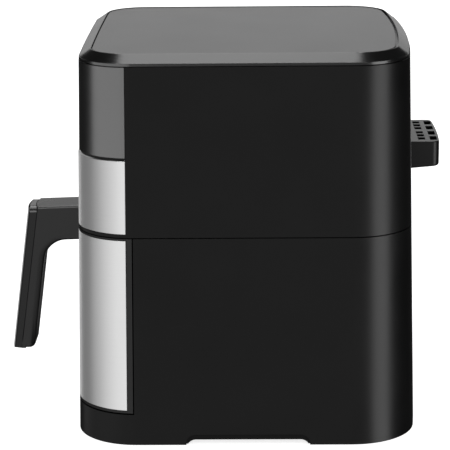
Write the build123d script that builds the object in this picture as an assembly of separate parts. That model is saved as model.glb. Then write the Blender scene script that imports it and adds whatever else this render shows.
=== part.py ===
"""Basket air fryer: a two-part cabinet, a pull-out drawer with a crisper tray, a heater and a fan.

Millimetres. The drawer faces -Y, the cord leaves at +Y and +Z is up.
Everything is drawn about the cabinet's own centre line and moved by SHIFT_Y on export, so that the
origin lies at the middle of the whole object's footprint.
"""

from build123d import *
import math
import os

os.makedirs("parts", exist_ok=True)

# ---------------------------------------------------------------- cabinet outline
WIDTH = 285.5  # at the foot
FRONT_Y = -159.7
REAR_Y = 128.2
FRONT_BOW = 7100.0  # radius of the slightly bowed front
REAR_BOW = 1024.0
FRONT_CORNER = 51.0
REAR_CORNER = 54.0
DRAFT = math.tan(math.radians(1.2))  # all walls lean in by this much

# ---------------------------------------------------------------- heights
HEIGHT = 325.0
FOOT_PROUD = 0.3  # the feet carry the housing this high
SEAM_Z = 176.3
SEAM_GAP = 0.8
BODY_TOP_Z = 315.8
BEZEL_Z = 316.2
BEVEL_Z = 318.1
PANEL_TOP_Z = 315.6
PANEL_FOOT_Z = 242.1
TRIM_TOP_Z = 239.7
TRIM_FOOT_Z = 179.6
FRONT_TOP_Z = 175.75  # drawer front
FRONT_FOOT_Z = 27.7
SILL_GAP = 1.3  # shadow gap under the drawer front
STEEL_TOP_Z = 174.0
STEEL_FOOT_Z = 30.0

# ---------------------------------------------------------------- walls and fits
WALL = 2.6
POCKET = 2.6  # depth of the pocket under a front panel
PANEL_INSET = 0.7  # the control panel lies a little behind the steel
SKIN = POCKET - 0.2  # inner face of the front panels
SHEET = 1.0
CARRIER = 5.4  # inner face of the wall behind the front panels
FRAME_RIM = 5.0
EDGE_Y = -115.8  # where the front panels end on the side, at the foot
EDGE_LEAN = 0.012
EDGE_GAP = 0.4  # shadow line round a front panel
TOUCH = 0.05  # gap between pieces that rest on each other
SLACK = 0.4  # gap between housings that fit into each other
SPAN = 150.0  # beyond every wall, for cutting

# ---------------------------------------------------------------- bezel and top
BEVEL_FOOT_IN = 0.5
BEVEL_TOP_IN = 10.6
BEVEL_LIP_R = 1.2
BAND_IN = 0.8
PLATE_IN = 11.8  # the top plate lies a little sunk, inside a narrow groove
PLATE_GROOVE = 0.8
PLATE_TOP_Z = 324.6
REAR_RIM_OUT = 1.3  # the rim stands this much further back, and the groove is wider there
TOP_SQUARER = 1.2  # the top's corners are this much tighter than the walls'
LEDGE_Z = 321.4
SKIRT_Z = 304.0

# ---------------------------------------------------------------- base
BASE_Z0, BASE_Z1 = 9.0, 11.5
BASE_RIM_Z = 16.0
HOUSING_ARCH_Z = 9.1  # the housing's lower edge rises over the middle of each side
BASE_ARCH_Z = 3.85
FOOT_ARCH_FRONT_Y, FOOT_ARCH_BACK_Y = -66.8, 35.6
FOOT_ARCH_R = 8.0
FOOT_R, FOOT_H = 11.0, 3.9
FOOT_SPOTS = [(side * 98, y) for side in (-1, 1) for y in (-112, 88)]
SCREW_SPOTS = [(side * x, y) for side in (-1, 1) for x, y in ((126, -92), (129, 0), (124, 84))]
SCREW_BOSS_Z0, SCREW_BOSS_Z1 = 12.2, 26.5
PILLAR_X, PILLAR_Y = 90.0, (-70.0, 80.0)  # pillars under the liner

# ---------------------------------------------------------------- handle
HANDLE_WIDTH = 34.0
GRIP_TILT = 0.1354
GRIP_OUTER_Y = -225.05  # crest of the grip's outer face at its foot
GRIP_FOOT_Z = 43.2
GRIP_DEPTH = 20.2
ARM_TOP_Z = 172.1
ARM_FOOT_Z = 141.2
ARM_TOP_FLARE, ARM_FOOT_FLARE = 1.9, 1.2  # rise of the arm towards the drawer
ARM_END_Y = -150.0
CROWN_R = 58.0  # the outer face is rounded in plan
CROWN_REACH = 25.0
FOOT_RISE, FOOT_RUN = 1.1, 9.0  # the grip's foot rises towards its outer face
ARCH_R = 20.0
INNER_FOOT_R = 5.8
OUTER_TOP_R = 3.2
OUTER_EDGE_R = 2.4
INNER_EDGE_R = 5.5
COVER_DEPTH = 6.1
COVER_TOP_R = 6.5  # the cover is rounder than the arm along its top
JOINT_TILT = GRIP_TILT + 0.006
JOINT_GAP = 0.35
HANDLE_SCREWS_Z = (149.0, 163.0)
BACKPLATE_HALF = 15.0
BACKPLATE_Z0, BACKPLATE_Z1 = 34.0, 141.0
BACKPLATE_FOOT, BACKPLATE_TOP = 1.0, 2.1  # its thickness at either end

# ---------------------------------------------------------------- rear vent and cord gland
VENT_HALF = 46.0
VENT_FOOT_Z = 212.0
VENT_TOP_Z = 234.8
VENT_BACK_Y = 147.8
VENT_BOW = 1.4  # sag of its curved back
VENT_WALL = 2.2
VENT_CORNER_R = 6.0
SPIGOT_HALF = 41.6
SPIGOT_WALL = 1.8
VENT_RISE = 1.6  # its underside rises towards the back
SLOT_DEPTH = 6.0
SLOT_ROWS = (  # across: the slots' middles and width, and where the row starts
    ((8.7, 20.8, 33.1), 8.8, REAR_Y + 1.2),
    ((10.7, 31.6), 14.4, REAR_Y + 11.2),
)
GLAND_X, GLAND_Z, GLAND_R = -85.0, 44.0, 8.0
CORD_R = 3.75

# ---------------------------------------------------------------- cooking space
AXIS_Y = 4.0  # the fan's axis
LINER_HALF = 124.0
LINER_FRONT_Y = -101.0
LINER_BACK_Y = 108.0
LINER_FLOOR_Z = 27.5
LINER_TOP_Z = 172.0
LINER_SHEET = 0.8
LINER_CORNER = 32.0
BAY_HALF = 121.0
BAY_FOOT_Z = 31.0
BAY_TOP_Z = 165.0
BAY_CORNER = 5.0
CHAMBER_R = 104.0
CHAMBER_ROOF_Z = 212.0
CHAMBER_SHEET = 0.8
CHAMBER_FOOT_Z = LINER_TOP_Z + LINER_SHEET + TOUCH

# ---------------------------------------------------------------- pan and tray
PAN_HALF = 114.0
PAN_FRONT_Y = -110.0
PAN_BACK_Y = 98.0
PAN_FLOOR_Z = 36.0
PAN_RIM_Z = 161.0
PAN_SHEET = 1.2
PAN_TAPER = 1.8
PAN_CORNER = 30.0
PAN_MID_Y = (PAN_FRONT_Y + PAN_BACK_Y) / 2
PAN_DEPTH = PAN_BACK_Y - PAN_FRONT_Y
FLANGE_WIDTH = 2 * (PAN_HALF + 5)
TRAY_Z = 50.0
TRAY_HALF = PAN_HALF - 9
TRAY_DEPTH = PAN_DEPTH - 18
TRAY_CORNER = 22.0
TRAY_SHEET = 1.2
TRAY_SKIRT = 8.0
HOLE_PITCH_X, HOLE_PITCH_Y = 21.0, 23.0
BACK_Y0, BACK_Y1 = -113.0, -111.0  # drawer back cover
RIVET_X = (-34.0, 34.0)
RIVET_Z = 146.0
RIVET_R, RIVET_HOLE_R, RIVET_HEAD_R = 2.05, 2.1, 3.6
BRACKET_HALF = 24.0
BRACKET_SHEET = 2.0

# ---------------------------------------------------------------- heater
COIL_R = (62.0, 70.0, 78.0, 86.0)  # half-turn radii, each centre stepping 8 mm across the axis
COIL_Z = 184.0
TUBE_R = 3.25
BEND_R = 12.0
ELEMENT_TOP_Z = CHAMBER_ROOF_Z + 16
LEG_IN = (COIL_R[0], AXIS_Y - BEND_R)
LEG_OUT = (COIL_R[0] + 2 * (COIL_R[1] - COIL_R[0] + COIL_R[3] - COIL_R[2]), AXIS_Y + BEND_R)
ELEMENT_ENDS = (LEG_IN, LEG_OUT)
PROBE_R = 1.6

# ---------------------------------------------------------------- motor and fans
PLATE_Z = 216.0  # motor plate
PLATE_SHEET = 1.2
PLATE_FACE_Z = PLATE_Z + PLATE_SHEET + TOUCH
SHAFT_R = 3.0
BORE_R = SHAFT_R + 0.02  # wheels pressed on the shaft
BRIDGE_Z = 238.0
BRIDGE_HALF = 70.0
BRIDGE_SHEET = 2.0
BRIDGE_DEPTH = 46.0
STATOR_Z0, STATOR_Z1 = 246.0, 266.0
BRIDGE_SPOTS = [(side * (BRIDGE_HALF + 7), AXIS_Y + y) for side in (-1, 1) for y in (-14, 14)]
STATOR_SPOTS = [(side * 28, AXIS_Y + y) for side in (-1, 1) for y in (-17, 17)]
BRACKET_Z = STATOR_Z1 + 6
BUSH_R = 5.95
LAMINATION_Y = (AXIS_Y + 37, AXIS_Y + 54)  # the leg that carries the coil
FAN_R = 54.0
FAN_Z0, FAN_Z1 = 191.0, 206.0
COOL_Z0, COOL_Z1 = 221.0, 233.0
NUT_Z = 188.2

# ---------------------------------------------------------------- controls
SWITCH_X, SWITCH_Y = 60.0, -126.0
SWITCH_Z = SEAM_Z + SEAM_GAP / 2 + 2.3
SWITCH_HEIGHT = 19.0
SPRING_TOP_Z = SWITCH_Z + 16.4
PLUNGER_R = 2.0
PLUNGER_HOLE_R = 2.3
BOARD_Z = 227.0
BOARD_SHEET = 1.6
BOARD_SPOTS = [(x, y) for x in (-56, 56) for y in (-126, -80)]
COMPONENT_Z = BOARD_Z + BOARD_SHEET + TOUCH
DISPLAY_Z = (266.0, 292.0)

SHIFT_Y = -(GRIP_OUTER_Y + VENT_BACK_Y) / 2


# ---------------------------------------------------------------- helpers
def outline(z, inset=0.0, squarer=0.0, longer=0.0):
    """The cabinet's plan at a height: straight sides, bowed front and rear, round corners."""
    inward = inset + DRAFT * z
    half = WIDTH / 2 - inward

    def end(y, bow, corner, sign):
        """Crest of one end, its corner's centre, and the corner's start and middle."""
        y, bow, corner = y - sign * inward, bow - inward, corner - inward - squarer
        bow_centre = y - sign * bow
        x = half - corner
        yc = bow_centre + sign * math.sqrt((bow - corner) ** 2 - x**2)
        reach = bow / (bow - corner)
        on_bow = (x * reach, bow_centre + (yc - bow_centre) * reach)
        diagonal = corner * math.sqrt(0.5)
        return y, yc, on_bow, (x + diagonal, yc + sign * diagonal)

    front, side_front, pf, mf = end(FRONT_Y, FRONT_BOW, FRONT_CORNER, -1)
    rear, side_rear, pr, mr = end(REAR_Y + longer, REAR_BOW, REAR_CORNER, 1)
    edges = [
        ThreePointArc((-pf[0], pf[1]), (0, front), pf),
        ThreePointArc(pf, mf, (half, side_front)),
        Line((half, side_front), (half, side_rear)),
        ThreePointArc((half, side_rear), mr, pr),
        ThreePointArc(pr, (0, rear), (-pr[0], pr[1])),
        ThreePointArc((-pr[0], pr[1]), (-mr[0], mr[1]), (-half, side_rear)),
        Line((-half, side_rear), (-half, side_front)),
        ThreePointArc((-half, side_front), (-mf[0], mf[1]), (-pf[0], pf[1])),
    ]
    return Pos(0, 0, z) * make_face(Wire(edges))


def block(z0, z1, inset=0.0, inset_top=None):
    """The cabinet's plan as a solid between two heights."""
    top = inset if inset_top is None else inset_top
    return loft([outline(z0, inset), outline(z1, top)], ruled=True)


def ring(z0, z1, outer, inner):
    """A wall of the cabinet between two insets."""
    return block(z0, z1, outer) - block(z0 - 1, z1 + 1, inner)


def box(x0, x1, y0, y1, z0, z1):
    return Pos((x0 + x1) / 2, (y0 + y1) / 2, (z0 + z1) / 2) * Box(x1 - x0, y1 - y0, z1 - z0)


def side_box(side, x0, x1, *rest):
    """A box on the side 1 or -1, from x0 to x1 out from the middle."""
    near, far = sorted((side * x0, side * x1))
    return box(near, far, *rest)


def rod(x, y, z0, z1, radius):
    return Pos(x, y, (z0 + z1) / 2) * Cylinder(radius, z1 - z0)


def rod_y(x, z, y0, y1, radius):
    return Pos(x, (y0 + y1) / 2, z) * Rot(X=90) * Cylinder(radius, y1 - y0)


def disc(radius, z0, z1, bore=0.0):
    """A disc or a tube on the fan's axis."""
    plate = rod(0, AXIS_Y, z0, z1, radius)
    return plate - rod(0, AXIS_Y, z0 - 1, z1 + 1, bore) if bore else plate


def across(points, half):
    """A profile in the YZ plane, drawn out to both sides."""
    face = make_face(Polyline(*points, close=True))
    return extrude(Plane.YZ * face, amount=half, both=True)


def rounded_plate(width, depth, corner, z0, height):
    """A plate in plan, in the middle of the pan."""
    return extrude(Pos(0, PAN_MID_Y, z0) * RectangleRounded(width, depth, corner), amount=height)


def front_zone(z0, z1, extra=0.0):
    """All that lies in front of the line on the sides where the front panels end."""
    front = FRONT_Y - 60

    def edge(z):
        return EDGE_Y + EDGE_LEAN * z + extra

    return across([(front, z0), (edge(z0), z0), (edge(z1), z1), (front, z1)], WIDTH)


def around(count, start=0.0):
    return [start + 360 / count * i for i in range(count)]


def polar(radius, angle):
    a = math.radians(angle)
    return radius * math.cos(a), AXIS_Y + radius * math.sin(a)


PROBE_SPOT = polar(94, 160)


def group(shapes):
    """Separate solids kept in one node."""
    return Compound([solid for shape in shapes for solid in shape.solids()])


# ---------------------------------------------------------------- cabinet shells
def foot_arch(top):
    """The low arch along the foot of both sides, up to a height."""
    arch = box(-WIDTH, WIDTH, FOOT_ARCH_FRONT_Y, FOOT_ARCH_BACK_Y, -10, top)
    upper = arch.edges().filter_by(Axis.X).group_by(Axis.Z)[-1]
    return fillet(upper, FOOT_ARCH_R)


def lower_housing():
    foot, top = FOOT_PROUD, SEAM_Z - SEAM_GAP / 2
    shell = ring(foot, top, 0, WALL)
    shell += ring(top - 5, top, WALL - 0.5, WALL + 1.7)  # step that carries the seam's tongue
    shell += ring(top - 1, top + 4, WALL + SLACK, WALL + 1.7)
    shell -= front_zone(FRONT_FOOT_Z - SILL_GAP, top + 10, FRAME_RIM + 0.9)
    jamb = ring(FRONT_FOOT_Z - 3, top, 0.3, 6.5) & front_zone(FRONT_FOOT_Z - 3, top, FRAME_RIM + 3.4)
    shell += jamb - front_zone(FRONT_FOOT_Z - 4, top + 10, FRAME_RIM + 0.9)
    sill = block(FRONT_FOOT_Z - SILL_GAP - 2.5, FRONT_FOOT_Z - SILL_GAP)
    shell += sill & box(-SPAN, SPAN, -170, LINER_FRONT_Y - 3, 0, 60)
    shell -= foot_arch(HOUSING_ARCH_Z)
    for x, y in SCREW_SPOTS:
        rib = side_box(math.copysign(1, x), abs(x), SPAN, y - 1, y + 1, 17, SCREW_BOSS_Z1)
        shell += rod(x, y, SCREW_BOSS_Z0, SCREW_BOSS_Z1, 4.5) + (rib & block(10, 40, 1))
        shell -= rod(x, y, 12, 25, 1.9)
    return shell - rod_y(GLAND_X, GLAND_Z, 100, 140, GLAND_R)


def upper_housing():
    foot = SEAM_Z + SEAM_GAP / 2
    top = BODY_TOP_Z - 0.4
    shell = ring(foot, BODY_TOP_Z, 0, WALL)
    pocket = front_zone(TRIM_FOOT_Z - EDGE_GAP, BODY_TOP_Z + 5, EDGE_GAP)
    shell -= pocket
    shell += ring(foot, top, POCKET + 0.2, CARRIER) & front_zone(foot, top, 4)
    web = ring(foot, top, 0.3, CARRIER) & front_zone(foot, top, 4)
    shell += web - pocket
    shell += block(foot, foot + 2.2, 1.0) & front_zone(foot - 1, foot + 3, 3.5)  # lintel over the drawer
    shell += block(foot, foot + 2.2, 6.0) & box(-SPAN, SPAN, -170, LINER_FRONT_Y - 3, 0, 200)
    shell -= box(-62, 62, -170, -130, 256, 302)  # window for the display
    shell -= box(-SPIGOT_HALF - SLACK, SPIGOT_HALF + SLACK, 100, 140, VENT_FOOT_Z + 2.5, VENT_TOP_Z - 2.3)
    return shell - rod(SWITCH_X, SWITCH_Y, foot - 1, foot + 4, PLUNGER_HOLE_R)


def top_bezel():
    rim = outline(HEIGHT, BEVEL_TOP_IN, TOP_SQUARER, REAR_RIM_OUT)
    bevel = loft([outline(BEVEL_Z, BEVEL_FOOT_IN), rim], ruled=True)
    bevel = fillet(bevel.edges().group_by(Axis.Z)[0], 0.35)
    bevel = fillet(bevel.edges().group_by(Axis.Z)[-1], BEVEL_LIP_R)
    band = block(BEZEL_Z, BEVEL_Z + 0.5, BAND_IN)
    skirt = block(SKIRT_Z, BEZEL_Z + 0.8, CARRIER + SLACK)
    bezel = bevel + band + skirt
    recess = outline(LEDGE_Z, PLATE_IN - PLATE_GROOVE, TOP_SQUARER, REAR_RIM_OUT)
    bezel -= extrude(recess, amount=HEIGHT)
    return bezel - block(SKIRT_Z - 4, HEIGHT, 16) - block(SKIRT_Z - 1, BEZEL_Z - 0.1, CARRIER + SLACK + 2)


def top_plate():
    plate = extrude(outline(LEDGE_Z + 0.2, PLATE_IN, TOP_SQUARER), amount=PLATE_TOP_Z - LEDGE_Z - 0.2)
    return fillet(plate.edges().group_by(Axis.Z)[-1], 0.4)


def control_panel():
    return ring(PANEL_FOOT_Z, PANEL_TOP_Z, PANEL_INSET, SKIN) & front_zone(PANEL_FOOT_Z, PANEL_TOP_Z)


def front_sheet(z0, z1):
    """A formed sheet round the front: a skin with its edges folded back into the pocket."""
    skin = ring(z0, z1, 0, SKIN) & front_zone(z0, z1)
    hollow = ring(z0 + SHEET, z1 - SHEET, SHEET, POCKET + 4)
    hollow &= front_zone(z0 + SHEET, z1 - SHEET, -SHEET)
    return skin - hollow


def upper_trim():
    return front_sheet(TRIM_FOOT_Z, TRIM_TOP_Z)


def base_plate():
    inset = WALL + SLACK
    rim = ring(FOOT_PROUD, BASE_RIM_Z, inset, inset + 2)
    plate = block(BASE_Z0, BASE_Z1, inset) + (rim - foot_arch(BASE_ARCH_Z))
    for x, y in FOOT_SPOTS:
        plate += rod(x, y, FOOT_H + 0.1, BASE_Z0 + 0.5, FOOT_R + 1)
        plate -= rod(x, y, 0, 7.0, 4.1)
    for side in (-1, 1):
        for y in PILLAR_Y:
            plate += rod(side * PILLAR_X, y, BASE_Z0 + 2, LINER_FLOOR_Z - 0.1, 7)
    for x, y in SCREW_SPOTS:
        plate += rod(x, y, 6.5, BASE_Z1 + 0.5, 6.2)
        plate -= rod(x, y, 0, 9.0, 4.2)
        plate -= rod(x, y, 0, 13, 2.0)
    for y in range(-40, 50, 12):
        plate -= box(-30, 30, y, y + 4, BASE_Z0 - 1, BASE_Z1 + 1)
    return plate & block(0, 40, inset)


def rubber_feet():
    feet = []
    for x, y in FOOT_SPOTS:
        pad = rod(x, y, 0, FOOT_H, FOOT_R)
        pad = chamfer(pad.edges().group_by(Axis.Z)[0], 1.0)
        feet.append(pad + rod(x, y, FOOT_H - 0.1, 6.8, 4.0))
    return group(feet)


def base_screws():
    return group([rod(x, y, 8, 24, 1.8) + rod(x, y, 6.4, 8.95, 3.6) for x, y in SCREW_SPOTS])


# ---------------------------------------------------------------- rear vent and cord gland
def rear_vent():
    """A hood on the rear wall with two rows of slots in its top, and a spigot into the duct."""
    half, back, bend = VENT_HALF, VENT_BACK_Y, VENT_BACK_Y - VENT_BOW
    foot, top, wall = VENT_FOOT_Z, VENT_TOP_Z, VENT_WALL
    root = 110.0  # inside the cabinet, cut off at its wall
    edges = [
        Line((-half, root), (half, root)),
        Line((half, root), (half, bend)),
        ThreePointArc((half, bend), (0, back), (-half, bend)),
        Line((-half, bend), (-half, root)),
    ]
    body = extrude(Pos(0, 0, foot - 5) * make_face(Wire(edges)), amount=top - foot + 5)
    body -= across([(root, foot - 9), (back, foot - 9), (back, foot + VENT_RISE), (root, foot - VENT_RISE)], SPAN)
    body = fillet(body.edges().filter_by(Axis.Z).group_by(Axis.Y)[-1], VENT_CORNER_R)
    for face, radius in ((0, 2.4), (-1, 1.0)):
        rim = body.faces().sort_by(Axis.Z)[face].edges()
        body = fillet(rim.filter_by(lambda e: e.center().Y > root + 0.1), radius)
    inside = half - wall
    body -= box(-inside, inside, REAR_Y - 2.8, back - 1.2 * wall, foot + wall + VENT_RISE, top - wall)
    body -= block(foot - 5, top + 5, -0.1)
    z0, z1 = foot + 2.9, top - 2.7
    spigot = box(-SPIGOT_HALF, SPIGOT_HALF, REAR_Y - 7.8, REAR_Y + 0.2, z0, z1)
    inner = SPIGOT_HALF - SPIGOT_WALL
    body += spigot & block(foot, top, -1.0)
    body -= box(-inner, inner, REAR_Y - 10, REAR_Y, z0 + SPIGOT_WALL, z1 - SPIGOT_WALL)
    for centres, width, y in SLOT_ROWS:
        for x in centres:
            for side in (-1, 1):
                body -= side_box(side, x - width / 2, x + width / 2, y, y + SLOT_DEPTH, top - 5, top + 5)
    return body


def cord_gland():
    """A collared bush that fills the cord's hole in the rear wall."""
    wall_y = REAR_Y - 4.2
    bush = rod_y(GLAND_X, GLAND_Z, wall_y - 12, wall_y - 2.0, GLAND_R - 0.1)
    bush += rod_y(GLAND_X, GLAND_Z, wall_y - 2.4, wall_y + 1.4, GLAND_R + 3)
    outside_bore = rod_y(GLAND_X, GLAND_Z, 90, 140, 30) - rod_y(GLAND_X, GLAND_Z, 90, 140, GLAND_R - 0.1)
    bush -= block(20, 70, -0.1) & outside_bore
    return bush - rod_y(GLAND_X, GLAND_Z, 90, 140, CORD_R)


# ---------------------------------------------------------------- cooking space
def cavity_frame():
    slab = box(-SPAN, SPAN, LINER_FRONT_Y - 2.8, LINER_FRONT_Y - 0.3, FRONT_FOOT_Z - 1.2, SEAM_Z - 1.2)
    slab &= block(20, 180, WALL + 2.2)
    opening = box(-BAY_HALF, BAY_HALF, -120, -90, BAY_FOOT_Z, BAY_TOP_Z)
    return slab - fillet(opening.edges().filter_by(Axis.Y), BAY_CORNER)


def cavity_liner():
    s, half, y0, y1 = LINER_SHEET, LINER_HALF, LINER_FRONT_Y, LINER_BACK_Y
    inner = box(-half, half, y0 - 5, y1, LINER_FLOOR_Z + s, LINER_TOP_Z)
    outer = box(-half - s, half + s, y0, y1 + s, LINER_FLOOR_Z, LINER_TOP_Z + s)
    inner = fillet(inner.edges().filter_by(Axis.Z).group_by(Axis.Y)[-1], LINER_CORNER - s)
    outer = fillet(outer.edges().filter_by(Axis.Z).group_by(Axis.Y)[-1], LINER_CORNER)
    return outer - inner - disc(CHAMBER_R - 6, 160, 180)


def drawer_rails():
    """An angle on each side of the liner, under the pan's flange."""
    y0, y1 = LINER_FRONT_Y + 2, LINER_BACK_Y - LINER_CORNER - 1
    wall = LINER_HALF - TOUCH
    rails = []
    for side in (-1, 1):
        shelf = side_box(side, PAN_HALF + 1.6, wall, y0, y1, PAN_RIM_Z - 3.2, PAN_RIM_Z - 1.7)
        rails.append(shelf + side_box(side, wall - 1.5, wall, y0, y1, PAN_RIM_Z - 16, PAN_RIM_Z - 2))
    return group(rails)


def element_guard():
    """A round grille over the food."""
    z0 = CHAMBER_FOOT_Z
    z1 = z0 + 1.2
    grille = disc(CHAMBER_R - 1.5, z0, z1, CHAMBER_R - 8)
    for radius in range(20, 100, 16):
        grille += disc(radius + 1.2, z0, z1, radius - 1.2)
    for angle in around(6, 30):
        x, y = polar(60, angle)
        grille += Pos(x, y, (z0 + z1) / 2) * Rot(Z=angle) * Box(84, 2.6, z1 - z0)
    return grille


def heater_chamber():
    foot, roof, s = CHAMBER_FOOT_Z, CHAMBER_ROOF_Z, CHAMBER_SHEET
    shell = disc(CHAMBER_R + s, foot, roof, 7) - disc(CHAMBER_R, foot - 1, roof - s)
    flange = disc(CHAMBER_R + 5, foot, foot + s, CHAMBER_R)
    shell += flange & box(-SPAN, SPAN, LINER_FRONT_Y + 0.4, SPAN, 0, 200)
    for x, y in ELEMENT_ENDS:
        shell -= rod(x, y, roof - 3, roof + 2, TUBE_R + 1)
    shell -= rod(*PROBE_SPOT, roof - 3, roof + 2, PROBE_R + 0.6)
    return shell - box(-38, 38, 90, 130, 190, 205)  # outlet into the duct


def heating_element():
    """Two turns of sheathed tube as half-circles, with both ends bent up through the roof."""
    turn = math.sqrt(0.5)
    bend_z = COIL_Z + BEND_R

    def bend(x, side):
        """Quarter bend between the coil and a leg on the side -1 or 1."""
        middle = (x, AXIS_Y + side * BEND_R * turn, COIL_Z + BEND_R * (1 - turn))
        return (x, AXIS_Y, COIL_Z), middle, (x, AXIS_Y + side * BEND_R, bend_z)

    x = LEG_IN[0]
    coil, middle, leg = bend(x, -1)
    edges = [Line((*LEG_IN, ELEMENT_TOP_Z), leg), ThreePointArc(leg, middle, coil)]
    for i, radius in enumerate(COIL_R):
        step = -1 if i % 2 == 0 else 1
        over = x + 2 * radius * step
        side_point = ((x + over) / 2, AXIS_Y - radius * step, COIL_Z)
        edges.append(ThreePointArc((x, AXIS_Y, COIL_Z), side_point, (over, AXIS_Y, COIL_Z)))
        x = over
    coil, middle, leg = bend(x, 1)
    edges += [ThreePointArc(coil, middle, leg), Line(leg, (*LEG_OUT, ELEMENT_TOP_Z))]
    path = Wire(edges)
    return sweep(Plane(origin=path @ 0, z_dir=path % 0) * Circle(TUBE_R), path=path)


def element_clips():
    """A bar under the turns, hung from the roof by a leg outside them."""
    sheet, half = 1.4, 3
    low = COIL_Z - TUBE_R - 1.9
    out = CHAMBER_R - 3
    high = CHAMBER_ROOF_Z - 0.9
    bar = box(54, out, -half, half, low, low + sheet)
    leg = box(out - sheet, out, -half, half, low, high)
    foot = box(out - 9, out, -half, half, high - 1.2, high)
    clip = bar + leg + foot
    return group([Pos(0, AXIS_Y, 0) * Rot(Z=angle) * clip for angle in around(3, 90)])


def insulation_pad():
    pad = disc(CHAMBER_R, CHAMBER_ROOF_Z + 0.1, PLATE_Z - 0.1, 12)
    for x, y in (*ELEMENT_ENDS, PROBE_SPOT):
        pad -= rod(x, y, CHAMBER_ROOF_Z - 1, PLATE_Z + 1, 5)
    return pad


def exhaust_duct():
    """Leads air from the back of the chamber up to the vent."""
    half, sheet = 43.0, 1.4
    y0, y1 = AXIS_Y + CHAMBER_R + 1, REAR_Y - 9.2
    z0, z1 = 187.0, VENT_TOP_Z - 0.5
    duct = box(-half, half, y0 - 6, y1, z0, z1)
    duct -= box(-half + sheet, half - sheet, y0 - 7, y1 - sheet, z0 + sheet, z1 - sheet)
    duct -= box(-half + sheet, half - sheet, y1 - 3, y1 + 1, VENT_FOOT_Z + 2.5, VENT_TOP_Z - 2.3)
    duct -= disc(CHAMBER_R + 1.1, 150, CHAMBER_ROOF_Z + 0.1)
    return duct - box(-50, 50, 90, y0, CHAMBER_ROOF_Z, 250)


def temperature_sensor():
    x, y = PROBE_SPOT
    return rod(x, y, LINER_TOP_Z + 8, PLATE_Z + 6, PROBE_R) + rod(x, y, PLATE_FACE_Z, PLATE_Z + 8, 5)


# ---------------------------------------------------------------- motor and fans
def motor_plate():
    plate = block(PLATE_Z, PLATE_Z + PLATE_SHEET, CARRIER + 0.8) & box(-SPAN, SPAN, -140, 108, 0, 300)
    holes = [(0, AXIS_Y, 9.0), (*PROBE_SPOT, PROBE_R + 0.6)]
    holes += [(x, y, 6.0) for x, y in ELEMENT_ENDS]
    holes += [(x, y, 2.1) for x, y in BRIDGE_SPOTS]
    for x, y, radius in holes:
        plate -= rod(x, y, 200, 230, radius)
    for radius in (44, 54):
        for angle in around(10, 18):
            x, y = polar(radius, angle)
            plate -= Pos(x, y, PLATE_Z) * Rot(Z=angle + 90) * Box(16, 5, 6)
    return plate


def motor_bridge():
    """A sheet bridge over the cooling fan, on two feet."""
    half, s = BRIDGE_HALF, BRIDGE_SHEET
    y0, y1 = AXIS_Y - BRIDGE_DEPTH / 2, AXIS_Y + BRIDGE_DEPTH / 2
    bridge = box(-half, half, y0, y1, BRIDGE_Z, BRIDGE_Z + s)
    for side in (-1, 1):
        bridge += side_box(side, half - s, half, y0, y1, PLATE_FACE_Z, BRIDGE_Z + s)
        bridge += side_box(side, half - s, half + 14, y0, y1, PLATE_FACE_Z, PLATE_FACE_Z + s)
        bridge -= rod(side * 50, AXIS_Y, BRIDGE_Z - 1, BRIDGE_Z + 3, 11)
    for x, y in STATOR_SPOTS:
        bridge += rod(x, y, BRIDGE_Z + 1, STATOR_Z0 - TOUCH, 4)
        bridge -= rod(x, y, BRIDGE_Z - 1, STATOR_Z0 + 1, 1.75)
    for x, y in BRIDGE_SPOTS:
        bridge -= rod(x, y, 200, 230, 2.1)
    return bridge - disc(BUSH_R + TOUCH, BRIDGE_Z - 1, BRIDGE_Z + 3)


def motor_stator():
    """A stack of laminations: one end round the rotor, the other through the coil."""
    stack = box(-34, 34, AXIS_Y - 24, LAMINATION_Y[1], STATOR_Z0, STATOR_Z1)
    stack = fillet(stack.edges().filter_by(Axis.Z), 3)
    stack -= disc(13.4, 240, 280)
    stack -= box(-20, 20, AXIS_Y + 20, LAMINATION_Y[0], 240, 280)
    for x, y in STATOR_SPOTS:
        stack -= rod(x, y, 240, 280, 1.75)
    return stack


def motor_coil():
    y0, y1 = LAMINATION_Y
    coil = box(-18, 18, y0 - 9, y1 + 9, STATOR_Z0 - 8, STATOR_Z1 + 8)
    coil = fillet(coil.edges().filter_by(Axis.X), 4)
    for side in (-1, 1):
        coil += side_box(side, 17, 19.6, y0 - 11, y1 + 11, STATOR_Z0 - 10, STATOR_Z1 + 10)
    return coil - box(-40, 40, y0 - 0.1, y1 + 0.1, STATOR_Z0 - 0.1, STATOR_Z1 + 0.1)


def motor_bracket():
    """An H-shaped strap over the stator that holds the upper bush."""
    z = BRACKET_Z
    strap = box(-34, 34, AXIS_Y - 22, AXIS_Y + 20, z, z + 2)
    for y in (AXIS_Y + 9, AXIS_Y - 30):
        strap -= box(-22, 22, y, y + 21, z - 1, z + 3)
    for x, y in STATOR_SPOTS:
        strap += rod(x, y, STATOR_Z1 + TOUCH, z + 1, 4)
        strap -= rod(x, y, STATOR_Z1 - 1, z + 3, 1.75)
    return strap - disc(BUSH_R + TOUCH, z - 1, z + 3)


def motor_bushes():
    bushes = []
    for z in (BRIDGE_Z, BRACKET_Z):
        bush = disc(BUSH_R, z - 2, z + 4) + disc(BUSH_R + 1.65, z + 2.05, z + 3.4)
        bushes.append(bush - disc(SHAFT_R + 0.05, z - 3, z + 5))
    return group(bushes)


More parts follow.
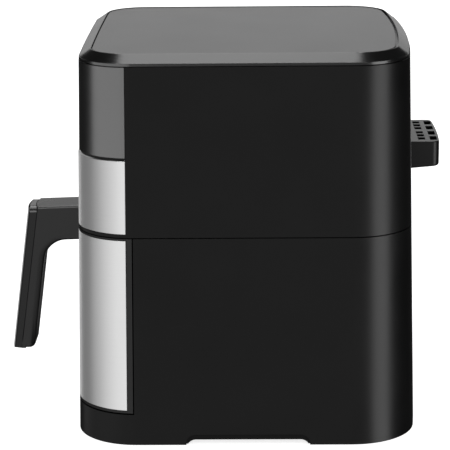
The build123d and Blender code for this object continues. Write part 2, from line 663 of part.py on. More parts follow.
def motor_screws():
    """Four long screws through the stator and four short ones through the bridge's feet."""
    head_z = BRACKET_Z + 2 + TOUCH
    foot_z = PLATE_FACE_Z + BRIDGE_SHEET + TOUCH
    screws = []
    for x, y in STATOR_SPOTS:
        screws.append(rod(x, y, BRIDGE_Z + 3, head_z + 2, 1.7) + rod(x, y, head_z, head_z + 3, 3.2))
    for x, y in BRIDGE_SPOTS:
        screws.append(rod(x, y, PLATE_Z - TOUCH, foot_z + 1, 2.0) + rod(x, y, foot_z, foot_z + 2.6, 3.6))
    return group(screws)


def motor_shaft():
    return disc(SHAFT_R, 184.5, 284)


def rotor_core():
    return disc(12.9, STATOR_Z0 - 0.5, STATOR_Z1 + 0.5, BORE_R)


def fan(hub, z0, z1, plate_z, blades, lean, sheet):
    """A disc with upright blades, each leaning from the radius."""
    wheel = disc(FAN_R, plate_z, plate_z + sheet) + disc(hub, z0, z1)
    length = FAN_R - hub - 6
    blade = Pos(hub + 5 + length / 2, 0, (z0 + z1) / 2) * Rot(Z=lean) * Box(length, sheet, z1 - z0)
    for angle in around(blades):
        wheel += Pos(0, AXIS_Y, 0) * Rot(Z=angle) * blade
    return wheel - disc(BORE_R, z0 - 1, z1 + 1)


def hot_fan():
    return fan(8, FAN_Z0, FAN_Z1, FAN_Z1 - 1.2, 12, 22, 1.2)


def cooling_fan():
    return fan(9, COOL_Z0, COOL_Z1, COOL_Z0, 9, -24, 1.6)


def fan_nut():
    nut = Pos(0, AXIS_Y, NUT_Z) * extrude(RegularPolygon(6.2, 6), amount=FAN_Z0 - NUT_Z - 0.2)
    return nut - disc(BORE_R, NUT_Z - 5, FAN_Z0)


# ---------------------------------------------------------------- controls
def thermal_cutout():
    x, y, z = 96, 62, PLATE_FACE_Z
    body = rod(x, y, z, z + 8, 8) + box(x - 13, x + 13, y - 4.5, y + 4.5, z, z + 1.2)
    for side in (-5.6, 5.6):
        body += box(x + side - 0.4, x + side + 0.4, y - 3, y + 3, z + 7, z + 15)
    return body


def control_board():
    board = box(-72, 72, -144.6, -143.0, 248, 308)
    for x in (-48, 0, 48):
        board += box(x - 8, x + 8, -143.1, -140.6, 252, 262)
    return board


def display_module():
    return box(-34, 34, -148.8, -144.7, *DISPLAY_Z)


def interlock_switch():
    x0, y0, z0 = SWITCH_X, SWITCH_Y, SWITCH_Z
    body = box(x0 - 10, x0 + 10, y0 - 6, y0 + 6, z0, z0 + SWITCH_HEIGHT)
    body = chamfer(body.edges().filter_by(Axis.Z), 1)
    for x in (x0 - 6, x0, x0 + 6):
        body += box(x - 1.6, x + 1.6, y0 - 0.4, y0 + 0.4, z0 + 18, z0 + 25)
    body -= rod(x0, y0, z0 + 1.6, SPRING_TOP_Z, 3.9)
    return body - rod(x0, y0, z0 - 1, z0 + 3, PLUNGER_HOLE_R)


def interlock_plunger():
    pin = rod(SWITCH_X, SWITCH_Y, FRONT_TOP_Z + 0.3, SWITCH_Z + 9, PLUNGER_R)
    pin = fillet(pin.edges().group_by(Axis.Z)[0], 1.2)
    return pin + rod(SWITCH_X, SWITCH_Y, SWITCH_Z + 2.0, SWITCH_Z + 3.6, 3.3)


def interlock_spring():
    z0 = SWITCH_Z + 4.0
    coil = Helix(pitch=2.2, height=SPRING_TOP_Z - 0.5 - z0, radius=2.85, center=(SWITCH_X, SWITCH_Y, z0))
    section = Plane(origin=coil @ 0, z_dir=coil % 0) * Circle(0.35)
    return sweep(section, path=coil, is_frenet=True)


def power_board():
    board = box(-62, 62, -132, -74, BOARD_Z, BOARD_Z + BOARD_SHEET)
    for x, y in BOARD_SPOTS:
        board -= rod(x, y, BOARD_Z - 1, BOARD_Z + 3, 1.8)
    return board


def board_posts():
    posts = []
    for x, y in BOARD_SPOTS:
        post = rod(x, y, PLATE_FACE_Z, BOARD_Z - TOUCH, 3.4)
        post += rod(x, y, BOARD_Z - 1, COMPONENT_Z + 1, 1.7)
        posts.append(post + rod(x, y, COMPONENT_Z, COMPONENT_Z + 1.75, 2.8))
    return group(posts)


def board_components():
    """Relay, transformer, capacitors, fuse and plugs standing on the power board."""
    z = COMPONENT_Z
    relay = box(-44, -24, -122, -107, z, z + 19)
    transformer = box(-14, 12, -124, -100, z, z + 22)
    capacitors = [rod(x, -88, z, z + 20, 6.5) for x in (-44, -28)]
    film = box(22, 40, -120, -112, z, z + 13)
    fuse = box(22, 46, -104, -97, z, z + 7)
    plugs = [box(x, x + 12, -86, -79, z, z + 9) for x in (-8, 10, 28)]
    return group([relay, transformer, film, fuse, *capacitors, *plugs])


# ---------------------------------------------------------------- drawer
def drawer_frame():
    """The hollow front's moulded frame, with a pocket for its steel panel."""
    frame = block(FRONT_FOOT_Z, FRONT_TOP_Z) - block(FRONT_FOOT_Z + 2.6, FRONT_TOP_Z - 2.6, FRAME_RIM)
    frame &= front_zone(FRONT_FOOT_Z, FRONT_TOP_Z, FRAME_RIM)
    z0, z1 = STEEL_FOOT_Z - EDGE_GAP, STEEL_TOP_Z + EDGE_GAP
    frame -= ring(z0, z1, -5, POCKET) & front_zone(z0, z1, EDGE_GAP)
    for z in HANDLE_SCREWS_Z:
        frame -= rod_y(0, z, -170, -140, 2.6)
    return frame


def drawer_panel():
    panel = front_sheet(STEEL_FOOT_Z, STEEL_TOP_Z)
    for z in HANDLE_SCREWS_Z:
        panel -= rod_y(0, z, -170, -140, 3.2)
    return panel


def drawer_back_cover():
    cover = box(-SPAN, SPAN, BACK_Y0, BACK_Y1, FRONT_FOOT_Z + 2.9, FRONT_TOP_Z - 2.9)
    cover &= block(20, 180, FRAME_RIM + 0.3)
    for x in RIVET_X:
        cover -= rod_y(x, RIVET_Z, -120, -105, RIVET_HOLE_R)
    return cover


def handle_bracket():
    """Ties the handle to the pan through the hollow front."""
    half, sheet = BRACKET_HALF, BRACKET_SHEET
    back = BACK_Y0 - TOUCH
    bracket = ring(130, STEEL_TOP_Z - 2, FRAME_RIM + 0.1, FRAME_RIM + 0.1 + sheet)
    bracket &= box(-half, half, -170, -140, 134, 170)
    for side in (-1, 1):
        bracket += side_box(side, half - sheet, half, -150.2, back, 136, 168)
        bracket += side_box(side, half - sheet, half + 20, back - sheet, back, 136, 156)
    for z in HANDLE_SCREWS_Z:
        bracket -= rod_y(0, z, -170, -140, 2.6)
    for x in RIVET_X:
        bracket -= rod_y(x, RIVET_Z, -120, -105, RIVET_HOLE_R)
    return bracket


def pan_rivets():
    """Two rivets through the pan's front wall, the back cover and the bracket's flanges."""
    outer = BACK_Y0 - 2.1
    inner = PAN_FRONT_Y + 1.85
    rivets = []
    for x in RIVET_X:
        rivet = rod_y(x, RIVET_Z, outer - 1.5, inner + 0.4, RIVET_R)
        rivet += rod_y(x, RIVET_Z, outer - 1.5, outer, RIVET_HEAD_R)
        rivets.append(rivet + rod_y(x, RIVET_Z, inner, inner + 1.2, RIVET_HEAD_R))
    return group(rivets)


def pan_shape(z0, inset):
    """The pan's tapered body, drawn down from its rim."""
    rim = RectangleRounded(2 * (PAN_HALF - inset), PAN_DEPTH - 2 * inset, PAN_CORNER - inset)
    body = extrude(Pos(0, PAN_MID_Y, PAN_RIM_Z) * rim, amount=-(PAN_RIM_Z - z0), taper=PAN_TAPER)
    return fillet(body.edges().group_by(Axis.Z)[0], 8 - inset)


def drawer_pan():
    pan = pan_shape(PAN_FLOOR_Z, 0)
    pan += rounded_plate(FLANGE_WIDTH, PAN_DEPTH, PAN_CORNER, PAN_RIM_Z - PAN_SHEET, PAN_SHEET)
    pan -= pan_shape(PAN_FLOOR_Z + PAN_SHEET, PAN_SHEET)
    for x in RIVET_X:
        pan -= rod_y(x, RIVET_Z, -120, -100, RIVET_HOLE_R)
    return pan


def crisper_tray():
    """A perforated plate with a turned-down edge."""
    height = TRAY_SKIRT + TRAY_SHEET
    plate = rounded_plate(2 * TRAY_HALF, TRAY_DEPTH, TRAY_CORNER, TRAY_Z - TRAY_SKIRT, height)
    plate = fillet(plate.edges().group_by(Axis.Z)[-1], 2)
    s = TRAY_SHEET
    plate -= rounded_plate(2 * (TRAY_HALF - s), TRAY_DEPTH - 2 * s, TRAY_CORNER - s, TRAY_Z - 9, 9)
    for i in range(-4, 5):
        for j in range(-3, 4):
            slot = SlotOverall(15, 5.5, rotation=90 if (i + j) % 2 else 0)
            place = Pos(i * HOLE_PITCH_X, PAN_MID_Y + j * HOLE_PITCH_Y, TRAY_Z - 2)
            plate -= place * extrude(slot, amount=6)
    return plate


def tray_bumpers():
    """Silicone feet gripping the tray's edge at its four corners."""
    foot_z = PAN_FLOOR_Z + PAN_SHEET + 0.3
    width, depth, corner = 2 * TRAY_HALF, TRAY_DEPTH, TRAY_CORNER
    hoop = rounded_plate(width + 4.4, depth + 4.4, corner + 2, foot_z, 11.5)
    hoop -= rounded_plate(width - 7, depth - 7, corner - 3, 0, 100)
    groove = rounded_plate(width + 0.1, depth + 0.1, corner + 0.1, TRAY_Z - TRAY_SKIRT - 0.1, 40)
    groove -= rounded_plate(width - 2.5, depth - 2.5, corner - 1.3, 0, 100)
    hoop -= groove
    hoop &= pan_shape(foot_z, PAN_SHEET + 0.5)
    reach = 24
    corners = []
    for side in (-1, 1):
        for end in (-1, 1):
            y0, y1 = sorted((PAN_MID_Y + end * (depth / 2 - reach), PAN_MID_Y + end * (depth / 2 + reach)))
            corners.append(hoop & side_box(side, TRAY_HALF - reach, TRAY_HALF + reach, y0, y1, 0, 100))
    return group(corners)


# ---------------------------------------------------------------- handle
def outer_y(z):
    """The crest of the grip's outer face."""
    return GRIP_OUTER_Y + GRIP_TILT * (z - GRIP_FOOT_Z)


def ahead_of(offset, tilt):
    """All in front of a face like the grip's outer one: rounded in plan, leaning, and set back."""
    sag = CROWN_REACH**2 / (2 * CROWN_R)
    far = GRIP_OUTER_Y - 30

    def plan(z):
        y = GRIP_OUTER_Y + offset + tilt * (z - GRIP_FOOT_Z)
        left, right = (-CROWN_REACH, y + sag), (CROWN_REACH, y + sag)
        edges = [
            ThreePointArc(left, (0, y), right),
            Line(right, (CROWN_REACH, far)),
            Line((CROWN_REACH, far), (-CROWN_REACH, far)),
            Line((-CROWN_REACH, far), left),
        ]
        return Pos(0, 0, z) * make_face(Wire(edges))

    return loft([plan(GRIP_FOOT_Z - 5), plan(ARM_TOP_Z + 5)], ruled=True)


def handle_form():
    """Arm and grip in side view, with the rounded outer face but sharp long edges."""
    reach = 4.0  # past the outer face, cut away with it
    arch = (outer_y(ARM_FOOT_Z) + GRIP_DEPTH, ARM_FOOT_Z)
    inner_foot = (outer_y(GRIP_FOOT_Z) + GRIP_DEPTH, GRIP_FOOT_Z)
    points = [
        (outer_y(GRIP_FOOT_Z) - reach, GRIP_FOOT_Z + FOOT_RISE * (1 + reach / FOOT_RUN)),
        (outer_y(ARM_TOP_Z) - reach, ARM_TOP_Z),
        (ARM_END_Y, ARM_TOP_Z + ARM_TOP_FLARE),
        (ARM_END_Y, ARM_FOOT_Z + ARM_FOOT_FLARE),
        arch,
        inner_foot,
        (outer_y(GRIP_FOOT_Z) + FOOT_RUN, GRIP_FOOT_Z),
    ]
    form = across(points, HANDLE_WIDTH / 2)
    for (y, z), radius in ((arch, ARCH_R), (inner_foot, INNER_FOOT_R)):
        form = fillet(form.edges().filter_by(Axis.X).sort_by_distance((0, y, z))[0], radius)
    form -= ahead_of(0, GRIP_TILT)
    crest = (0, outer_y(ARM_TOP_Z), ARM_TOP_Z)
    return fillet(form.edges().sort_by_distance(crest)[0], OUTER_TOP_R)


def on_inner_side():
    """The half of the handle that faces the drawer: under the arm and behind the grip."""
    z_mid = (ARM_TOP_Z + ARM_FOOT_Z) / 2
    z_low = GRIP_FOOT_Z - 5
    middle = GRIP_DEPTH * 0.6
    top, low = (outer_y(z_mid) + middle, z_mid), (outer_y(z_low) + middle, z_low)
    points = [(-100, z_mid), top, low, (-100, z_low)]
    return across(points, HANDLE_WIDTH)


def handle_whole():
    """The handle before it is parted: small roundings outside, large ones where the fingers go."""
    form = handle_form()
    sides = form.edges().filter_by(lambda e: abs(abs(e.center().X) - HANDLE_WIDTH / 2) < 0.01)
    sides = sides.filter_by(lambda e: e.center().Y < ARM_END_Y - 0.5)
    inner = []
    for edge in sides:
        centre = edge.center()
        if centre.Z < ARM_FOOT_Z + 2 and centre.Y > outer_y(centre.Z) + GRIP_DEPTH / 2:
            inner.append(edge)
    half = on_inner_side()
    whole = (fillet(sides, OUTER_EDGE_R) - half) + (fillet(inner, INNER_EDGE_R) & half)
    return whole - block(ARM_FOOT_Z - 20, ARM_TOP_Z + 20, -TOUCH)


def handle_body():
    body = HANDLE - ahead_of(COVER_DEPTH + JOINT_GAP, JOINT_TILT)
    z0, z1 = GRIP_FOOT_Z + 14, ARM_TOP_Z - 12
    front, back = COVER_DEPTH - 1, GRIP_DEPTH - 4.2
    hollow = [(outer_y(z) + depth, z) for z, depth in ((z0, front), (z0, back), (z1, back), (z1, front))]
    body -= across(hollow, HANDLE_WIDTH / 2 - 5)
    for z in HANDLE_SCREWS_Z:
        body -= rod_y(0, z, -176, -140, 2.55)
    return body


def handle_cover():
    """The strip over the grip's outer face, with rounder shoulders than the arm behind it."""
    cover = HANDLE & ahead_of(COVER_DEPTH, JOINT_TILT)
    y0, y1 = outer_y(ARM_TOP_Z) - 5, outer_y(ARM_TOP_Z) + COVER_DEPTH + 5
    x, z = HANDLE_WIDTH / 2 - COVER_TOP_R, ARM_TOP_Z + 0.2 - COVER_TOP_R
    for side in (-1, 1):
        shoulder = side_box(side, x, x + COVER_TOP_R + 1, y0, y1, z, z + COVER_TOP_R + 1)
        cover -= shoulder - rod_y(side * x, z, y0 - 1, y1 + 1, COVER_TOP_R)
    return cover


def handle_backplate():
    """A thin plate on the steel behind the grip, thinning towards its foot."""
    z0, z1 = BACKPLATE_Z0, BACKPLATE_Z1
    y0 = FRONT_Y + DRAFT * z0 - BACKPLATE_FOOT
    y1 = FRONT_Y + DRAFT * z1 - BACKPLATE_TOP
    plate = across([(y0, z0), (ARM_END_Y, z0), (ARM_END_Y, z1), (y1, z1)], BACKPLATE_HALF)
    return plate - block(20, 150, -TOUCH)


def handle_screws():
    screws = []
    for z in HANDLE_SCREWS_Z:
        head_y = FRONT_Y + DRAFT * z + FRAME_RIM + 2.4
        screws.append(rod_y(0, z, -174, head_y + 1, 2.5) + rod_y(0, z, head_y, head_y + 3, 4.2))
    return group(screws)


HANDLE = handle_whole()

# ---------------------------------------------------------------- the assembly
for make in (
    lower_housing,
    upper_housing,
    top_bezel,
    top_plate,
    control_panel,
    upper_trim,
    base_plate,
    rubber_feet,
    base_screws,
    rear_vent,
    cord_gland,
    cavity_frame,
    cavity_liner,
    drawer_rails,
    element_guard,
    heater_chamber,
    heating_element,
    element_clips,
    insulation_pad,
    exhaust_duct,
    temperature_sensor,
    motor_plate,
    motor_bridge,
    motor_stator,
    motor_coil,
    motor_bracket,
    motor_bushes,
    motor_screws,
    motor_shaft,
    rotor_core,
    hot_fan,
    cooling_fan,
    fan_nut,
    thermal_cutout,
    control_board,
    display_module,
    interlock_switch,
    interlock_plunger,
    interlock_spring,
    power_board,
    board_posts,
    board_components,
    drawer_frame,
    drawer_panel,
    drawer_back_cover,
    handle_bracket,
    pan_rivets,
    drawer_pan,
    crisper_tray,
    tray_bumpers,
    handle_body,
    handle_cover,
    handle_backplate,
    handle_screws,
):
    export_step(Pos(0, SHIFT_Y, 0) * make(), f"parts/{make.__name__}.step")
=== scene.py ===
"""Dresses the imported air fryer: camera, studio, floor and a procedural finish for every piece.

Lengths are metres in the model's own frame: the drawer faces -Y and +Z is up.
"""

import math

import bpy
from mathutils import Matrix, Vector


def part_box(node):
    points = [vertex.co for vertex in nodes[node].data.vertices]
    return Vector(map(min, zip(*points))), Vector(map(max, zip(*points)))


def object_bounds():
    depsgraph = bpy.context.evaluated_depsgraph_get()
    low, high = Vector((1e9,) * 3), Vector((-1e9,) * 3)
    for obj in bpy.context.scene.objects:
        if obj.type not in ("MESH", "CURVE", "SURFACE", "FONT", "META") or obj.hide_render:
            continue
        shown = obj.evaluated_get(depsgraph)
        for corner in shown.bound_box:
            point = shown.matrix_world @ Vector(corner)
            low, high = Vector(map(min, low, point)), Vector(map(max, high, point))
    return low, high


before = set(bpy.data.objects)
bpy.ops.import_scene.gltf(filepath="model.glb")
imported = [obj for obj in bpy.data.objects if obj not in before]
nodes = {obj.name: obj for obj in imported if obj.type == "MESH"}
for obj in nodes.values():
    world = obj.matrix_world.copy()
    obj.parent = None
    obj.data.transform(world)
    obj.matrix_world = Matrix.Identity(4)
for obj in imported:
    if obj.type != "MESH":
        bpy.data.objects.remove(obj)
cad_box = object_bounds()
scene = bpy.context.scene

# ---------------------------------------------------------------- camera
CAMERA_PLACE = Vector((1.70426, 0.03673, 0.59800))  # to the side, a little above the top
CAMERA_YAW = math.radians(-1.1436)
CAMERA_PITCH = math.radians(14.6962)
CAMERA_ROLL = math.radians(-0.5706)
SENSOR_MM = 36.0
LENS_MM = 160.712
CAMERA_REACH = 50.0


def make_camera():
    look = Vector(
        (
            -math.cos(CAMERA_YAW) * math.cos(CAMERA_PITCH),
            math.sin(CAMERA_YAW) * math.cos(CAMERA_PITCH),
            -math.sin(CAMERA_PITCH),
        )
    )
    level_right = look.cross(Vector((0, 0, 1))).normalized()
    level_up = level_right.cross(look)
    c, s = math.cos(CAMERA_ROLL), math.sin(CAMERA_ROLL)
    right = c * level_right + s * level_up
    up = c * level_up - s * level_right
    turn = Matrix((right, up, -look)).transposed()
    camera = bpy.data.objects.new("camera", bpy.data.cameras.new("camera"))
    camera.matrix_world = Matrix.Translation(CAMERA_PLACE) @ turn.to_4x4()
    camera.data.sensor_width = SENSOR_MM
    camera.data.lens = LENS_MM
    camera.data.clip_end = CAMERA_REACH
    scene.collection.objects.link(camera)
    scene.camera = camera


# ---------------------------------------------------------------- shader helpers
CLOUD_SCALE = 18.0  # noise scales are per metre
GRAIN_SCALE = 1400.0
METAL_SCALE = 300.0
FINE_RELIEF = 0.00002
BRUSH_RELIEF = 0.000001
MOULDED_EDGE = 0.0006  # radius at which edges look rounded
SHEET_EDGE = 0.0007
SMALL_EDGE = 0.0003


class Finish:
    """One material: a Principled surface and the nodes that vary it."""

    def __init__(self, name):
        self.material = bpy.data.materials.new(name)
        self.material.use_nodes = True
        self.tree = self.material.node_tree
        self.tree.nodes.clear()
        self.out = self.node("ShaderNodeOutputMaterial")
        self.body = self.node("ShaderNodeBsdfPrincipled")
        self.link(self.body.outputs["BSDF"], self.out.inputs["Surface"])
        self.place = self.node("ShaderNodeTexCoord").outputs["Object"]

    def node(self, kind, **settings):
        made = self.tree.nodes.new(kind)
        for key, value in settings.items():
            setattr(made, key, value)
        return made

    def link(self, a, b):
        self.tree.links.new(a, b)

    def set(self, **values):
        """Plain numbers and colours on the surface, such as roughness=0.4."""
        for key, value in values.items():
            self.body.inputs[key.replace("_", " ")].default_value = value

    def stretched(self, scale):
        mapping = self.node("ShaderNodeMapping")
        mapping.inputs["Scale"].default_value = scale
        self.link(self.place, mapping.inputs["Vector"])
        return mapping.outputs["Vector"]

    def noise(self, scale, detail=3.0, vector=None):
        made = self.node("ShaderNodeTexNoise")
        made.inputs["Scale"].default_value = scale
        made.inputs["Detail"].default_value = detail
        made.inputs["Roughness"].default_value = 0.5
        self.link(vector or self.place, made.inputs["Vector"])
        return made.outputs["Fac"]

    def span(self, value, low, high, start=0.3, end=0.7):
        """The value, from start to end, spread over low to high."""
        made = self.node("ShaderNodeMapRange")
        ends = (("From Min", start), ("From Max", end), ("To Min", low), ("To Max", high))
        for key, number in ends:
            made.inputs[key].default_value = number
        self.link(value, made.inputs["Value"])
        return made.outputs["Result"]

    def colours(self, value, first, last):
        """A colour that runs from the first stop to the last; a stop is a place and a colour."""
        made = self.node("ShaderNodeValToRGB")
        for element, (at, colour) in zip(made.color_ramp.elements, (first, last)):
            element.position = at
            element.color = (*colour, 1)
        self.link(value, made.inputs["Fac"])
        return made.outputs["Color"]

    def bump(self, height, distance, under):
        made = self.node("ShaderNodeBump")
        made.inputs["Distance"].default_value = distance
        made.inputs["Strength"].default_value = 1.0
        self.link(height, made.inputs["Height"])
        self.link(under, made.inputs["Normal"])
        return made.outputs["Normal"]

    def soft_edges(self, radius):
        """A normal that runs round the edges without moving them."""
        made = self.node("ShaderNodeBevel", samples=6)
        made.inputs["Radius"].default_value = radius
        return made.outputs["Normal"]


def grey(level):
    return (level, level, level)


def moulded(name, shade, roughness, specular, relief=FINE_RELIEF):
    """Black moulded plastic: fine grain, slight cloudiness in its gloss and softened edges."""
    f = Finish(name)
    cloud = f.noise(CLOUD_SCALE)
    dark, light = grey(shade * 0.85), grey(shade * 1.15)
    f.link(f.colours(cloud, (0.3, dark), (0.7, light)), f.body.inputs["Base Color"])
    f.link(f.span(cloud, roughness * 0.94, roughness * 1.06), f.body.inputs["Roughness"])
    f.set(Specular_IOR_Level=specular)
    edges = f.soft_edges(MOULDED_EDGE)
    f.link(f.bump(f.noise(GRAIN_SCALE, 2.0), relief, under=edges), f.body.inputs["Normal"])
    return f.material


def brushed(name, shade, roughness, across):
    """Sheet metal with fine straight brush lines; across is the stretch of the lines on each axis."""
    f = Finish(name)
    lines = f.noise(1.0, 4.0, f.stretched(across))
    dark, light = grey(shade * 0.985), grey(shade * 1.015)
    f.link(f.colours(lines, (0.25, dark), (0.75, light)), f.body.inputs["Base Color"])
    f.link(f.span(lines, roughness * 0.96, roughness * 1.04), f.body.inputs["Roughness"])
    f.set(Metallic=1.0)
    f.link(f.bump(lines, BRUSH_RELIEF, under=f.soft_edges(SHEET_EDGE)), f.body.inputs["Normal"])
    return f.material


def plain_metal(name, colour, roughness):
    """Bare metal, slightly cloudy in colour and gloss."""
    f = Finish(name)
    cloud = f.noise(METAL_SCALE)
    dark = tuple(c * 0.85 for c in colour)
    f.link(f.colours(cloud, (0.3, dark), (0.7, colour)), f.body.inputs["Base Color"])
    f.link(f.span(cloud, roughness * 0.85, roughness * 1.15), f.body.inputs["Roughness"])
    f.set(Metallic=1.0)
    f.link(f.soft_edges(SMALL_EDGE), f.body.inputs["Normal"])
    return f.material


def plain_matter(name, colour, roughness, grain=600.0, relief=0.00005):
    """Rubber, board, fibre and other dull matter with a grain of its own."""
    f = Finish(name)
    cloud = f.noise(grain)
    dark = tuple(c * 0.8 for c in colour)
    f.link(f.colours(cloud, (0.3, dark), (0.7, colour)), f.body.inputs["Base Color"])
    f.link(f.span(cloud, roughness * 0.9, roughness * 1.1), f.body.inputs["Roughness"])
    f.link(f.bump(cloud, relief, under=f.soft_edges(SMALL_EDGE)), f.body.inputs["Normal"])
    return f.material


# ---------------------------------------------------------------- finishes by material slot
BRUSH_ROUND = (60.0, 60.0, 2500.0)  # the lines run level round the cabinet
finishes = {
    "satin_black": moulded("satin_black", 0.0047, 0.34, 0.15),
    "top_black": moulded("top_black", 0.0055, 0.22, 0.35),
    "gloss_black": moulded("gloss_black", 0.003, 0.33, 0.5, relief=0.0),
    "polished_black": moulded("polished_black", 0.004, 0.12, 0.3, relief=0.0),
    "brushed_steel": brushed("brushed_steel", 0.78, 0.3, BRUSH_ROUND),
    "handle_black": moulded("handle_black", 0.007, 0.28, 0.36),
    "frame_black": moulded("frame_black", 0.02, 0.45, 0.25),
    # base_black is partly its own black and partly painted shade: its shade is set below the body's black
    # so that the recessed band behind the foot arch looks as dark as it does in shade
    "base_black": moulded("base_black", 0.0045, 0.45, 0.12),
    "rubber": plain_matter("rubber", grey(0.02), 0.8),
    "silicone": plain_matter("silicone", grey(0.05), 0.6),
    "pan_coat": plain_matter("pan_coat", grey(0.03), 0.42, 2500.0),
    "liner_steel": plain_metal("liner_steel", grey(0.6), 0.4),
    "bright_steel": plain_metal("bright_steel", grey(0.75), 0.25),
    "element_steel": plain_metal("element_steel", (0.32, 0.29, 0.27), 0.45),
    "laminations": plain_metal("laminations", grey(0.35), 0.5),
    "copper": plain_metal("copper", (0.75, 0.35, 0.18), 0.3),
    "bronze": plain_metal("bronze", (0.6, 0.42, 0.2), 0.35),
    "fibre": plain_matter("fibre", (0.75, 0.72, 0.65), 0.95, 900.0, 0.0004),
    "board": plain_matter("board", (0.02, 0.16, 0.06), 0.4),
    "component": plain_matter("component", grey(0.04), 0.5),
    "switch_plastic": plain_matter("switch_plastic", grey(0.5), 0.5),
    "spring_steel": plain_metal("spring_steel", grey(0.6), 0.3),
    "fan_aluminium": plain_metal("fan_aluminium", grey(0.8), 0.35),
}


def dress_nodes():
    for node in nodes.values():
        for place in node.material_slots:
            place.material = finishes[place.material.name]


# ---------------------------------------------------------------- studio
WORLD_SHADE = 0.75  # what the matt surfaces receive
GLOSS_FULL = 2.0
GLOSS_ROUND = (  # degrees from +X towards -Y, and the brightness there
    (-180, 0.05),
    (-150, 0.03),
    (-95, 0.02),
    (-60, 0.15),
    (-30, 0.70),
    (0, 1.15),
    (20, 1.30),
    (41, 1.00),
    (62, 0.78),
    (78, 0.55),
    (92, 0.08),
    (110, 0.02),
    (150, 0.03),
    (180, 0.05),
)


def arithmetic(tree, operation, value, by=None):
    """A Math node: the operation on a value, with a number where it takes two."""
    made = tree.nodes.new("ShaderNodeMath")
    made.operation = operation
    tree.links.new(value, made.inputs[0])
    if by is not None:
        made.inputs[1].default_value = by
    return made


def gloss_bands(tree):
    """The brightness round the object that its glossy surfaces see."""
    new, link = tree.nodes.new, tree.links.new
    where = new("ShaderNodeSeparateXYZ")
    link(new("ShaderNodeTexCoord").outputs["Generated"], where.inputs["Vector"])
    turned = arithmetic(tree, "ARCTAN2", arithmetic(tree, "MULTIPLY", where.outputs["Y"], -1.0).outputs[0])
    link(where.outputs["X"], turned.inputs[1])
    share = new("ShaderNodeMapRange")
    share.inputs["From Min"].default_value = -math.pi
    share.inputs["From Max"].default_value = math.pi
    link(turned.outputs[0], share.inputs["Value"])
    bands = new("ShaderNodeFloatCurve")
    curve = bands.mapping.curves[0]
    points = [((degrees + 180) / 360, level / GLOSS_FULL) for degrees, level in GLOSS_ROUND]
    curve.points[0].location = points[0]
    curve.points[-1].location = points[-1]
    for x, y in points[1:-1]:
        curve.points.new(x, y)
    for point in curve.points:
        point.handle_type = "VECTOR"
    bands.mapping.update()
    link(share.outputs["Result"], bands.inputs["Value"])
    return arithmetic(tree, "MULTIPLY", bands.outputs[0], GLOSS_FULL).outputs[0]


def make_world():
    """White to the camera, a plain level on matt surfaces and soft bands for the reflections."""
    world = bpy.data.worlds.new("studio")
    world.use_nodes = True
    scene.world = world
    tree = world.node_tree
    tree.nodes.clear()
    new, link = tree.nodes.new, tree.links.new
    path = new("ShaderNodeLightPath")
    diffuse = new("ShaderNodeBackground")
    diffuse.inputs["Color"].default_value = (*grey(WORLD_SHADE), 1)
    gloss = new("ShaderNodeBackground")
    link(gloss_bands(tree), gloss.inputs["Strength"])
    seen = new("ShaderNodeBackground")
    seen.inputs["Color"].default_value = (*grey(1.0), 1)
    mix_gloss = new("ShaderNodeMixShader")
    link(path.outputs["Is Glossy Ray"], mix_gloss.inputs["Fac"])
    link(diffuse.outputs[0], mix_gloss.inputs[1])
    link(gloss.outputs[0], mix_gloss.inputs[2])
    mix_seen = new("ShaderNodeMixShader")
    link(path.outputs["Is Camera Ray"], mix_seen.inputs["Fac"])
    link(mix_gloss.outputs[0], mix_seen.inputs[1])
    link(seen.outputs[0], mix_seen.inputs[2])
    link(mix_seen.outputs[0], new("ShaderNodeOutputWorld").inputs["Surface"])


def softbox(name, place, aim, size, brightness, only=()):
    """A panel of light that shows in glossy surfaces alone; only names the nodes it is kept to."""
    light = bpy.data.lights.new(name, "AREA")
    light.shape = "RECTANGLE"
    light.size, light.size_y = size
    light.energy = brightness * math.pi * size[0] * size[1]
    lamp = bpy.data.objects.new(name, light)
    lamp.location = place
    lamp.rotation_euler = (Vector(aim) - Vector(place)).to_track_quat("-Z", "Y").to_euler()
    lamp.visible_camera = False
    lamp.visible_diffuse = False
    scene.collection.objects.link(lamp)
    if only:
        kept = bpy.data.collections.new(name + "_receivers")
        for node in only:
            kept.objects.link(nodes[node])
        lamp.light_linking.receiver_collection = kept
        lamp.light_linking.blocker_collection = kept
    return lamp


def standing_softbox(name, corner, azimuths, distance, heights, brightness, only):
    """A softbox that stands round a corner of the cabinet, between two azimuths from +X towards -Y."""
    first, last = (math.radians(angle) for angle in azimuths)
    middle, half = (first + last) / 2, abs(last - first) / 2
    aim = Vector((*corner, sum(heights) / 2))
    place = aim + distance * Vector((math.cos(middle), -math.sin(middle), 0))
    size = (2 * distance * math.tan(half), heights[1] - heights[0])
    softbox(name, place, aim, size, brightness, only)


HOUSINGS = ("lower_housing", "upper_housing")
STEEL = ("drawer_panel", "upper_trim")
HANDLE = ("handle_body", "handle_cover")
FRONT_CORNER_IN = (0.051, 0.009)  # what the standing boxes turn round, in from the shell's faces
REAR_CORNER_IN = (0.054, 0.054)
GRIP_CORNER_X = 0.015
GRIP_CORNER_IN = 0.01
LOW = (-0.25, 0.45)  # from below the floor to above the top

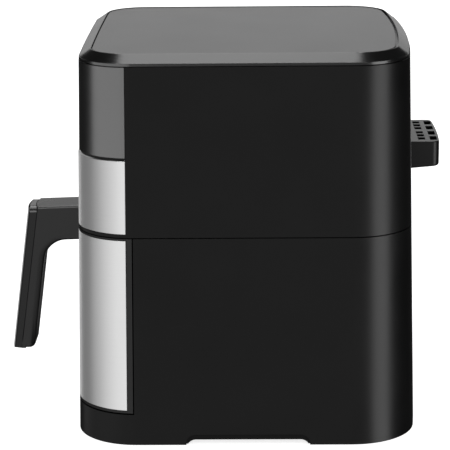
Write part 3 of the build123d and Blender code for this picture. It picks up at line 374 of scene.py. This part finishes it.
FLAT_BOXES = (  # place, aim, width and height, brightness, the nodes it shows in
    ("far_wall", (-3.0, 0, 0.75), (0, 0, 0.75), (2.4, 1.9), 0.57, ("top_plate", "top_bezel")),
    ("far_high", (-3.0, 0, 1.2), (0, 0, 0.2), (2.4, 1.0), 0.72, HANDLE),
    ("far_vent", (-3.0, 0, 0.95), (0, 0, 0.4), (2.4, 1.5), 1.0, ("rear_vent",)),
    ("high_front", (1.0, -0.1, 0.75), (0, -0.1, 0.17), (1.2, 0.5), 5.0, HANDLE),
)
OVERHEAD_PLACE = (-0.85, -0.07, 1.8)
OVERHEAD_SIZE = (2.3, 0.75)
OVERHEAD_BRIGHTNESS = 6.0
FRONT_BOXES = (  # azimuths, distance, brightness, the nodes it shows in; all stand at the front corner
    ("panel_side", (3, 90), 0.5, 3.4, ("control_panel", "top_bezel")),
    ("steel_side", (80, 150), 0.5, 0.2, STEEL),
    ("drawer_side", (28, 98), 0.5, 0.12, ("drawer_panel",)),
    ("steel_edge", (142, 178), 0.5, 0.5, STEEL),
    ("front_side", (30, 128), 0.4, 0.47, HOUSINGS),
)


def make_softboxes():
    right = cad_box[1][0]
    shell_front, shell_rear = (corner[1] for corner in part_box("lower_housing"))
    front_corner = (right - FRONT_CORNER_IN[0], shell_front + FRONT_CORNER_IN[1])
    rear_corner = (right - REAR_CORNER_IN[0], shell_rear - REAR_CORNER_IN[1])
    grip_corner = (GRIP_CORNER_X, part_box("handle_cover")[0][1] + GRIP_CORNER_IN)
    for row in FLAT_BOXES:
        softbox(*row)
    standing_softbox("grip_edge", grip_corner, (112, 178), 0.5, (-0.35, 0.1), 0.65, ("handle_cover",))
    overhead = softbox(
        "overhead", OVERHEAD_PLACE, (*OVERHEAD_PLACE[:2], 0), OVERHEAD_SIZE, OVERHEAD_BRIGHTNESS
    )
    overhead.rotation_euler = (0, 0, 0)  # its long side lies along X
    for name, azimuths, distance, brightness, only in FRONT_BOXES:
        standing_softbox(name, front_corner, azimuths, distance, LOW, brightness, only)
    standing_softbox("left_side", (0, 0), (160, 200), 1.4, (-0.4, 0.3), 1.0, HOUSINGS)
    rear_only = (*HOUSINGS, "top_bezel", "rear_vent")
    standing_softbox("rear_side", rear_corner, (-70, -38), 0.5, LOW, 6.5, rear_only)


FLOOR_REACH = 12.0
FLOOR_SHADE = 0.8
FLOOR_GLOW = 0.8  # for the camera alone, so that the floor renders white and keeps its shadow


def make_floor():
    mesh = bpy.data.meshes.new("floor")
    r = FLOOR_REACH
    corners = [(-r, -r, 0), (r, -r, 0), (r, r, 0), (-r, r, 0)]
    mesh.from_pydata(corners, [], [(0, 1, 2, 3)])
    floor = bpy.data.objects.new("floor", mesh)
    scene.collection.objects.link(floor)
    material = bpy.data.materials.new("floor_white")
    material.use_nodes = True
    tree = material.node_tree
    tree.nodes.clear()
    new, link = tree.nodes.new, tree.links.new
    path = new("ShaderNodeLightPath")
    matt = new("ShaderNodeBsdfDiffuse")
    matt.inputs["Color"].default_value = (*grey(FLOOR_SHADE), 1)
    glow = new("ShaderNodeEmission")
    strength = arithmetic(tree, "MULTIPLY", path.outputs["Is Camera Ray"], FLOOR_GLOW)
    link(strength.outputs[0], glow.inputs["Strength"])
    both = new("ShaderNodeAddShader")
    link(matt.outputs[0], both.inputs[0])
    link(glow.outputs[0], both.inputs[1])
    link(both.outputs[0], new("ShaderNodeOutputMaterial").inputs["Surface"])
    mesh.materials.append(material)
    floor.visible_glossy = False


scene.view_settings.view_transform = "Standard"
make_camera()
make_world()
make_softboxes()
make_floor()
dress_nodes()
